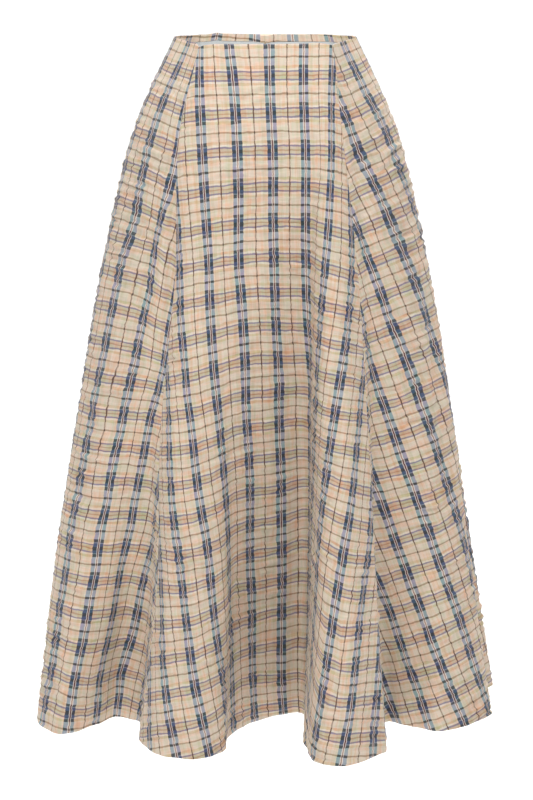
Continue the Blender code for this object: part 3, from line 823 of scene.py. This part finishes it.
def node(tree, kind, **inputs):
    """A node whose unlinked inputs or settings get these values."""
    made = tree.nodes.new(kind)
    for key, value in inputs.items():
        if key in made.inputs:
            made.inputs[key].default_value = value
        else:
            setattr(made, key, value)
    return made


def math_node(tree, operation, first, second):
    made = node(tree, "ShaderNodeMath", operation=operation)
    feed(tree, made.inputs[0], first)
    feed(tree, made.inputs[1], second)
    return made.outputs[0]


def mixed(tree, blend, fac, one, other):
    made = node(tree, "ShaderNodeMix", data_type="RGBA", blend_type=blend)
    for place, value in ((0, fac), (6, one), (7, other)):
        feed(tree, made.inputs[place], value)
    return made.outputs[2]


def noise_node(tree, vector, scale, detail, stretch=(1, 1, 1)):
    placed = node(tree, "ShaderNodeMapping", Scale=stretch)
    tree.links.new(vector, placed.inputs["Vector"])
    made = node(tree, "ShaderNodeTexNoise", Scale=scale, Detail=detail)
    tree.links.new(placed.outputs[0], made.inputs["Vector"])
    return made


def new_material(name, **looks):
    """A material and its node tree. Its shader gets these looks, with _ for a space in a name."""
    material = bpy.data.materials.new(name)
    material.use_nodes = True
    shader = material.node_tree.nodes["Principled BSDF"]
    for key, value in looks.items():
        shader.inputs[key.replace("_", " ")].default_value = value
    return material, material.node_tree, shader


# %% Colours and runs of colours
EDGE_SOFT = 0.22            # half the width of a stripe's soft edge, in millimetres
HALF_REPEAT = 25.0          # from the middle of a pair, or of the brown line, in millimetres


def srgb(colour):
    """A colour given in 0 to 255, as the linear value that a shader takes."""
    shares = [c / 255 for c in colour]
    return (*[s / 12.92 if s <= 0.04045 else ((s + 0.055) / 1.055) ** 2.4 for s in shares], 1.0)


def colour_run(tree, fac, marks):
    """A Color Ramp through (place, colour) marks."""
    made = tree.nodes.new("ShaderNodeValToRGB")
    tree.links.new(fac, made.inputs[0])
    stops = made.color_ramp.elements
    stops[0].position, stops[0].color = marks[0]
    stops[1].position, stops[1].color = marks[-1]
    for place, colour in marks[1:-1]:
        stops.new(place).color = colour
    return made.outputs[0]


def three_tones(tree, fac, tones):
    """A soft run through three tones over the middle of a noise's range."""
    return colour_run(tree, fac, [(at, srgb(tone)) for at, tone in zip((0.32, 0.50, 0.68), tones)])


def drifting_tones(tree, vector, scale, stretch, tones):
    """Three tones that drift over the cloth."""
    drift = noise_node(tree, vector, scale, 1.0, stretch)
    return three_tones(tree, drift.outputs["Fac"], tones)


def stripes(tree, share, chart):
    """The stripes of a chart, where `share` runs from 0 to 1 over half a repeat."""
    marks = [(0.0, srgb(chart[0][1]))]
    for (end, colour), (_, after) in zip(chart[:-1], chart[1:]):
        marks += [((end - EDGE_SOFT) / HALF_REPEAT, srgb(colour)),
                  ((end + EDGE_SOFT) / HALF_REPEAT, srgb(after))]
    return colour_run(tree, share, marks)


def stripe_mask(tree, distance, low, high):
    """1 between two distances from the line, in millimetres, and 0 outside."""
    past_low = math_node(tree, "SUBTRACT", distance, low - EDGE_SOFT)
    before_high = math_node(tree, "SUBTRACT", high + EDGE_SOFT, distance)
    clamp = node(tree, "ShaderNodeClamp")
    inside = math_node(tree, "MINIMUM", math_node(tree, "DIVIDE", past_low, 2 * EDGE_SOFT),
                       math_node(tree, "DIVIDE", before_high, 2 * EDGE_SOFT))
    tree.links.new(inside, clamp.inputs[0])
    return clamp.outputs[0]


# %% Stripe charts: each stripe's end, in millimetres of the half repeat, and its colour
GROUND = (211, 197, 183)
PALE = (214, 203, 192)
WEFT_CHART = (
    (1.15, (166, 147, 126)), (11.5, GROUND), (15.4, (205, 190, 172)), (18.2, PALE),
    (20.5, (142, 133, 151)), (24.0, (198, 188, 177)), (25.0, (180, 156, 137)),
)
WARP_CHART = ((9.6, (255, 255, 255)), (14.4, (248, 247, 242)), (25.0, (255, 255, 255)))
# These warp stripes change along their length, so their charts follow the weft's half repeat
BAR_CHART = (
    (1.7, (74, 74, 76)), (11.5, (150, 154, 162)), (15.9, (74, 77, 81)), (17.4, (120, 126, 138)),
    (22.3, (72, 84, 111)), (25.0, (60, 63, 70)),
)
THREAD_CHART = ((1.6, (84, 58, 52)), (11.4, (156, 128, 116)), (25.0, (92, 50, 50)))
LINE_CHART = (
    (1.6, (84, 66, 56)), (11.4, (152, 132, 116)), (17.5, (112, 90, 74)), (25.0, (94, 68, 58)),
)
WHITE_CHART = ((1.6, (166, 154, 146)), (11.4, (212, 202, 191)), (25.0, (186, 176, 169)))
OCHRE_BANDS = ((11.5, 15.4), (20.6, 25.5))

# Tones that drift over the cloth: the stretch of their patches, and three tones from low to high
YARN_TONES = (
    ((9.0, 0.9, 1), ((255, 238, 226), (254, 252, 250), (242, 248, 241))),
    ((1.1, 7.0, 1), ((255, 238, 230), (252, 251, 250), (244, 248, 240))),
)
OCHRE_TONES = ((3.2, 0.8, 1), ((255, 236, 222), (253, 249, 242), (243, 248, 226)))
BAR_TONES = ((4.0, 1.6, 1), ((222, 252, 240), (248, 252, 250), (255, 236, 250)))


# %% The check cloth's material
def wandering(tree, uv):
    """The cloth's coordinates, pulled about a little by the crinkle and the loose weave."""
    shaken = uv
    for scale, detail, stretch, amount in ((2.4, 1.0, (1, 1.3, 1), (0.02, 0.08, 0.0)),
                                           (7.0, 2.0, (1, 1.6, 1), (0.035, 0.035, 0.0))):
        shake = noise_node(tree, uv, scale, detail, stretch)
        centred = node(tree, "ShaderNodeVectorMath", operation="SUBTRACT")
        centred.inputs[1].default_value = (0.5, 0.5, 0.5)
        tree.links.new(shake.outputs["Color"], centred.inputs[0])
        moved = node(tree, "ShaderNodeVectorMath", operation="MULTIPLY_ADD")
        moved.inputs[1].default_value = amount
        tree.links.new(centred.outputs[0], moved.inputs[0])
        tree.links.new(shaken, moved.inputs[2])
        shaken = moved.outputs[0]
    return shaken


def woven_colour(tree, uv):
    """The check's colour all over the cloth."""
    split = node(tree, "ShaderNodeSeparateXYZ")
    tree.links.new(wandering(tree, uv), split.inputs[0])
    folds = [math_node(tree, "PINGPONG", out, 0.5) for out in split.outputs[:2]]
    warp_share, weft_share = (math_node(tree, "MULTIPLY", fold, 2.0) for fold in folds)
    warp_mm, weft_mm = (math_node(tree, "MULTIPLY", fold, 2 * HALF_REPEAT) for fold in folds)
    cloth = mixed(tree, "MULTIPLY", 1.0, stripes(tree, weft_share, WEFT_CHART),
                  stripes(tree, warp_share, WARP_CHART))

    # Space-dyed yarns: groups of warp and of weft threads drift in hue, each along its own way.
    for stretch, tones in YARN_TONES:
        cloth = mixed(tree, "MULTIPLY", 1.0, cloth, drifting_tones(tree, uv, 1.0, stretch, tones))

    # The ochre bands drift from peach to olive along the cloth.
    band_tone = drifting_tones(tree, uv, 1.0, *OCHRE_TONES)
    for low, high in OCHRE_BANDS:
        cloth = mixed(tree, "MULTIPLY", stripe_mask(tree, weft_mm, low, high), cloth, band_tone)

    # The bars' dark yarns run from teal through navy to plum.
    bars = mixed(tree, "MULTIPLY", 1.0, stripes(tree, weft_share, BAR_CHART),
                 drifting_tones(tree, uv, 1.3, *BAR_TONES))
    white, thread, line = (stripes(tree, weft_share, chart)
                           for chart in (WHITE_CHART, THREAD_CHART, LINE_CHART))
    for low, high, stripe in ((0.85, 2.0, white), (2.0, 7.4, bars), (-1.0, 0.85, thread),
                              (24.1, 26.0, line)):
        cloth = mixed(tree, "MIX", stripe_mask(tree, warp_mm, low, high), cloth, stripe)

    # Slubs: threads a little lighter or darker, long along their own direction.
    along_warp, along_weft = (noise_node(tree, uv, 40.0, 2.0, stretch).outputs["Fac"]
                              for stretch in ((1, 0.06, 1), (0.06, 1, 1)))
    slub = math_node(tree, "MULTIPLY", math_node(tree, "ADD", along_warp, along_weft), 0.5)
    shade = colour_run(tree, slub, [(0.35, (0.86, 0.86, 0.86, 1.0)), (0.65, (1.0, 1.0, 1.0, 1.0))])
    return mixed(tree, "MULTIPLY", 1.0, cloth, shade)


def check_cloth_material(name, lift):
    """The check, with its colours made `lift` times as light. A lift above 1 is painted light."""
    material, tree, shader = new_material(name, Roughness=0.88, Specular_IOR_Level=0.25,
                                          Sheen_Weight=0.12, Sheen_Roughness=0.5)
    uv = node(tree, "ShaderNodeUVMap", uv_map="flat_cloth").outputs[0]
    cloth = woven_colour(tree, uv)
    # A lift above 1 paints light into the colours, for cloth that lies in shade
    if lift != 1.0:
        cloth = mixed(tree, "MULTIPLY", 1.0, cloth, (lift, lift, lift, 1.0))
    tree.links.new(cloth, shader.inputs["Base Color"])

    # Weave and the finest crinkle, as bump only.
    fine = noise_node(tree, uv, 22.0, 3.0, (0.45, 1.6, 1))
    crinkle = node(tree, "ShaderNodeBump", Strength=0.35, Distance=0.0012)
    tree.links.new(fine.outputs["Fac"], crinkle.inputs["Height"])
    weave = node(tree, "ShaderNodeTexWave", Scale=20.0, Distortion=1.5, wave_type="BANDS",
                 bands_direction="DIAGONAL")
    tree.links.new(uv, weave.inputs["Vector"])
    threads = node(tree, "ShaderNodeBump", Strength=0.15, Distance=0.0003)
    tree.links.new(weave.outputs["Fac"], threads.inputs["Height"])
    tree.links.new(crinkle.outputs[0], threads.inputs["Normal"])
    tree.links.new(threads.outputs[0], shader.inputs["Normal"])
    return material


crinkled_check = check_cloth_material("crinkled_check", 1.0)
for piece in panels.values():
    piece.data.materials.append(crinkled_check)
print("nodes in the check:", len(crinkled_check.node_tree.nodes))

# %% [markdown]
# ## Inside the waist
# Seen from the front and above, the inside of the back shows over the front edge. There the cloth
# is faced with a strip of itself a centimetre wide, and a pale ribbed tape runs below the strip.
# Both are cut straight and sewn round the waist, so each is a band that follows the ring of the
# waist a little further in. At the centre back they pass over the zip's tapes, and the strip over
# its slider too.

# %% Bands inside the ring
def ring_at(drop):
    """Points and outward directions round the skirt at a drop, from the centre back onwards."""
    row = drop / (drops[1] - drops[0])
    low = int(row)
    order = (columns["back_panel_left"][0] + np.arange(ring.shape[1] + 1)) % ring.shape[1]
    points, outs = (values[low, order] * (low + 1 - row) + values[low + 1, order] * (row - low)
                    for values in (ring, facing))
    return points, unit(outs)


def along(values, lengths, marks):
    return np.column_stack([np.interp(marks, lengths, values[:, axis]) for axis in range(3)])


def band(name, band_drops, gap, bends, depths):
    """A band from the centre back all round, and where its points lie: round it and down.

    Its outer side lies `depths` inside the skirt's outer face at the distances `bends` from the
    centre back, and evenly between them, but at the waist edge itself it closes up to the cloth.
    Its ends stop `gap` from the centre back.
    """
    grid, spots = [], []
    steps = [bend for bend in bends if bend > gap]
    lengths = travelled(ring_at(band_drops[0])[0])
    plain = (lengths > bends[-1] + 0.001) & (lengths < lengths[-1] - bends[-1] - 0.001)
    for drop in band_drops:
        points, outs = ring_at(drop)
        lengths = travelled(points)
        whole = lengths[-1]
        marks = np.concatenate([[gap], steps, lengths[plain],
                                [whole - step for step in reversed(steps)], [whole - gap]])
        depth = np.interp(np.minimum(marks, whole - marks), bends, depths)
        if drop == 0:
            depth = np.minimum(depth, depths[-1])
        grid.append(along(points, lengths, marks) - along(outs, lengths, marks) * depth[:, None])
        spots.append(np.column_stack([marks / whole, np.full(len(marks), drop)]))
    return add_panel(name, np.array(grid)), np.array(spots)


# %% Waist facing, with its check a little aslant as in the photograph
FACING_WALL = 0.0004
FACING_DROPS = (0.0, 0.0002, 0.0030, 0.0060, 0.0084, FACING_LOW)
FACING_GAP = 0.0001
OVER_ZIP_AT = (0.0, 0.005, 0.009, 0.013, 0.017)
OVER_ZIP = (0.0054, 0.0054, 0.0029, 0.0029, 0.0014)
FACING_REPEATS = 14
FACING_LINE, FACING_SLANT = 0.0082, 0.0078      # drop of the brown line, and its rise and fall

waist_facing, spots = band("waist_facing", FACING_DROPS, FACING_GAP, OVER_ZIP_AT, OVER_ZIP)
around = spots[..., 0]
brown_line = FACING_LINE - FACING_SLANT * np.sin(2 * math.pi * around)
finish_sheet(waist_facing, FACING_REPEATS * around + BACK_PAIR_AT / CHECK_REPEAT,
             (spots[..., 1] - brown_line) / CHECK_REPEAT, FACING_WALL)
# The facing shows the cloth's wrong side. Its check is painted 1.22 times as light: painted light
# for the shaded inside of the waist
waist_facing.data.materials.append(check_cloth_material("facing_check_painted_lighter", 1.22))

# %% Waist tape
TAPE_DROPS = (0.0101, 0.0112, 0.0160, 0.0220, 0.0280, 0.0328, 0.0339)
TAPE_WALL = 0.0009
TAPE_BENDS = (0.0012, 0.0118, 0.0150)
TAPE_DEPTHS = (0.0030, 0.0030, 0.0018)
CM = 100                    # the UV maps of the tapes are in centimetres

fine_tape, spots = band("ribbed_waist_tape", TAPE_DROPS, TAPE_BENDS[0], TAPE_BENDS, TAPE_DEPTHS)
waist_round = travelled(ring_at(0.005)[0])[-1]
finish_sheet(fine_tape, spots[..., 0] * waist_round * CM, spots[..., 1] * CM, TAPE_WALL)

# %% [markdown]
# ## The concealed zip
# Its two woven tapes lie behind the edges of the centre back seam, and a nylon coil joins them.
# One turn of the coil is modelled, an Array repeats it, and a Curve modifier leads the row down
# the seam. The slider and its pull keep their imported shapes, because they are hard and small.

# %% Zip tapes
ZIP_TOP = 0.003
ZIP_NEAR, ZIP_FAR = 0.0010, 0.0110
ZIP_TAPE_DEPTH = 0.0016
ZIP_TAPE_WALL = 0.0009

zip_tapes = {}
for side, turn in (("left", 1), ("right", -1)):
    grid, spots = [], []
    for drop in np.linspace(ZIP_TOP, ZIP_END - 0.001, 70):
        points, outs = ring_at(drop)
        points = points[::turn]
        marks = np.linspace(ZIP_NEAR, ZIP_FAR, 6)[::turn]
        grid.append(along(points, travelled(points), marks) - outs[0] * ZIP_TAPE_DEPTH)
        spots.append(np.column_stack([marks, np.full(len(marks), drop)]))
    zip_tapes[side] = add_panel("zip_tape_woven_" + side, np.array(grid))
    finish_sheet(zip_tapes[side], *np.moveaxis(np.array(spots) * CM, -1, 0), ZIP_TAPE_WALL)

# %% One turn of the coil
COIL_START, COIL_END = 0.036, ZIP_END - 0.005
COIL_PITCH = 0.0012
COIL_TURN = (0.0008, 0.0034, 0.0010)        # along, across and deep
COIL_ROUNDING = 0.00025
COIL_DEPTH = ZIP_TAPE_DEPTH + ZIP_TAPE_WALL + COIL_TURN[2] / 2

bpy.ops.object.select_all(action="DESELECT")
bpy.ops.mesh.primitive_cube_add(size=1.0, location=(0.0, 0.0, 0.0))
coil = bpy.context.active_object
coil.name = "zip_coil"
coil.dimensions = COIL_TURN
bpy.ops.object.transform_apply(location=False, rotation=False, scale=True)
bpy.ops.object.mode_set(mode="EDIT")
bpy.ops.mesh.select_all(action="SELECT")
bpy.ops.mesh.bevel(offset=COIL_ROUNDING, segments=1, affect="EDGES")
bpy.ops.object.mode_set(mode="OBJECT")

# %% The coil down the seam
seam_line = bpy.data.curves.new("seam_line", "CURVE")
seam_line.dimensions = "3D"
spline = seam_line.splines.new("POLY")
line_drops = np.linspace(COIL_START, COIL_END + 0.01, 40)
spline.points.add(len(line_drops) - 1)
for point, drop in zip(spline.points, line_drops):
    points, outs = ring_at(drop)
    point.co = (*(points[0] - outs[0] * COIL_DEPTH), 1.0)
seam_path = bpy.data.objects.new("seam_path", seam_line)
bpy.context.scene.collection.objects.link(seam_path)

repeat = coil.modifiers.new("turns", "ARRAY")
repeat.use_relative_offset = False
repeat.use_constant_offset = True
repeat.constant_offset_displace = (COIL_PITCH, 0.0, 0.0)
repeat.count = round((COIL_END - COIL_START) / COIL_PITCH)
lead = coil.modifiers.new("down_the_seam", "CURVE")
lead.object = seam_path
lead.deform_axis = "POS_X"
apply_all(coil)
bpy.data.objects.remove(seam_path)
coil_box = np.array([vertex.co for vertex in coil.data.vertices])
print("coil from", coil_box.min(0).round(4), "to", coil_box.max(0).round(4),
      "faces", len(coil.data.polygons))


# %% Tape, coil and metal finishes
def tape_material(name, colour, rib_direction, rib_scale):
    """Woven tape whose UV map is in centimetres: ribs across it or a twill along it, with painted
    shade between them.
    """
    material, tree, shader = new_material(name, Roughness=0.8)
    flat = node(tree, "ShaderNodeUVMap", uv_map="flat_cloth").outputs[0]
    ribs = node(tree, "ShaderNodeTexWave", Scale=rib_scale, Distortion=0.5,
                bands_direction=rib_direction)
    tree.links.new(flat, ribs.inputs["Vector"])
    tone = noise_node(tree, flat, 3.0, 3.0)
    worn = mixed(tree, "MIX", tone.outputs["Fac"], srgb(colour), srgb([c * 0.92 for c in colour]))
    # Painted shade: the grooves between the ribs, or between the twill's lines, are darkened in the
    # colour as well as in the bump
    painted_shade_between_ribs = three_tones(tree, ribs.outputs["Fac"],
                               ((228, 228, 228), (246, 246, 246), (255, 255, 255)))
    tree.links.new(mixed(tree, "MULTIPLY", 1.0, worn, painted_shade_between_ribs), shader.inputs["Base Color"])
    bump = node(tree, "ShaderNodeBump", Strength=0.5, Distance=0.0003)
    tree.links.new(ribs.outputs["Fac"], bump.inputs["Height"])
    tree.links.new(bump.outputs[0], shader.inputs["Normal"])
    return material


def smooth_material(name, colour, other, roughness, coat):
    """Enamel or nylon: one tone that drifts a little, rubbed paler on a fine scale."""
    material, tree, shader = new_material(name, Roughness=roughness, Coat_Weight=coat,
                                          Coat_Roughness=0.15)
    place = node(tree, "ShaderNodeTexCoord")
    wear = noise_node(tree, place.outputs["Object"], 900.0, 4.0)
    tone = mixed(tree, "MIX", wear.outputs["Fac"], srgb(colour), srgb(other))
    tree.links.new(tone, shader.inputs["Base Color"])
    return material


pale_tape = tape_material("pale_ribbed_tape", (216, 222, 224), "X", 3.0)
woven_tape = tape_material("cream_zip_tape", (206, 194, 176), "DIAGONAL", 4.0)
nylon = smooth_material("cream_nylon", (204, 194, 178), (188, 178, 162), 0.45, 0.0)
enamel = smooth_material("cream_enamel", (212, 200, 184), (194, 182, 166), 0.35, 0.4)
fine_tape.data.materials.append(pale_tape)
coil.data.materials.append(nylon)
for tape in zip_tapes.values():
    tape.data.materials.append(woven_tape)
for name in ("zip_slider", "zip_pull"):
    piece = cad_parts[name]
    piece.data.materials.clear()
    piece.data.materials.append(enamel)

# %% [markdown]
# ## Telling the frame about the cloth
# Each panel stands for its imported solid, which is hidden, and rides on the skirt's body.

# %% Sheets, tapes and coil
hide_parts("waist_tape")
for side, tape in zip_tapes.items():
    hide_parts("zip_tape_" + side)
for piece in (fine_tape, waist_facing, coil, *zip_tapes.values()):
    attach(piece, "skirt")

for name, piece in panels.items():
    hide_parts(name)
    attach(piece, "skirt")

# %% [markdown]
# ## Floor and light
# A pale floor lies well below the hem, as under a form on a stand, so its shadow stays out of
# sight. Two big soft lamps, wide even suns and a bright sky leave only gentle shade in the folds,
# as a studio's white walls do. A small lamp inside the form lights the inside of the back, which
# shows over the front edge.

# %% Floor
FLOOR_AT, FLOOR_WIDE = -1.55, 80.0
bpy.ops.object.select_all(action="DESELECT")
bpy.ops.mesh.primitive_plane_add(size=FLOOR_WIDE, location=(0.0, 0.0, FLOOR_AT))
floor = bpy.context.active_object
floor.name = "studio_floor"
floor_finish = new_material("pale_floor", Base_Color=(0.93, 0.93, 0.93, 1.0), Roughness=0.9)[0]
floor.data.materials.append(floor_finish)

# %% Lamps
SKIRT_MIDDLE = (0.0, 0.0, -0.35)
WINDOW = (2.6, 2.2)
WINDOW_WATTS = 44.0
SUN_SPREAD = math.radians(55)


def add_lamp(name, kind, **settings):
    data = bpy.data.lights.new(name, kind)
    for key, value in settings.items():
        setattr(data, key, value)
    lamp = bpy.data.objects.new(name, data)
    bpy.context.scene.collection.objects.link(lamp)
    return lamp


def add_softbox(name, place, aim, size, watts):
    lamp = add_lamp(name, "AREA", shape="RECTANGLE", size=size[0], size_y=size[1], energy=watts)
    lamp.location = place
    lamp.rotation_euler = (Vector(aim) - Vector(place)).to_track_quat("-Z", "Y").to_euler()
    return lamp


def add_soft_sun(name, height, turn, strength):
    """Even light from a wide white wall, at degrees above the front and round from it."""
    lamp = add_lamp(name, "SUN", angle=SUN_SPREAD, energy=strength)
    lamp.rotation_euler = (math.radians(90 - height), 0.0, math.radians(turn))


add_softbox("front_window", (-0.3, -2.0, 1.7), SKIRT_MIDDLE, WINDOW, WINDOW_WATTS)
add_softbox("back_window", (0.3, 2.0, 1.7), SKIRT_MIDDLE, WINDOW, WINDOW_WATTS)
inside_lamp = add_softbox("inside_lamp", (0.0, -0.03, -0.17), (0.0, 0.09, -0.01),
                          (0.20, 0.06), 0.30)
inside_lamp.visible_camera = False
add_soft_sun("front_wall", 12, 0, 0.45)
add_soft_sun("back_wall", 12, 180, 0.45)
add_soft_sun("ceiling", 90, 0, 2.7)

# %% Sky: white to the camera, softer as a light
sky = bpy.data.worlds.new("bright_studio")
sky.use_nodes = True
walls = sky.node_tree.nodes["Background"]
walls.inputs["Strength"].default_value = 0.30
backdrop = sky.node_tree.nodes.new("ShaderNodeBackground")
backdrop.inputs["Color"].default_value = walls.inputs["Color"].default_value = (1.0, 1.0, 1.0, 1.0)
ray = sky.node_tree.nodes.new("ShaderNodeLightPath")
either = sky.node_tree.nodes.new("ShaderNodeMixShader")
sky.node_tree.links.new(ray.outputs["Is Camera Ray"], either.inputs[0])
sky.node_tree.links.new(walls.outputs[0], either.inputs[1])
sky.node_tree.links.new(backdrop.outputs[0], either.inputs[2])
sky.node_tree.links.new(either.outputs[0], sky.node_tree.nodes["World Output"].inputs["Surface"])
bpy.context.scene.world = sky
bpy.context.scene.view_settings.view_transform = "Standard"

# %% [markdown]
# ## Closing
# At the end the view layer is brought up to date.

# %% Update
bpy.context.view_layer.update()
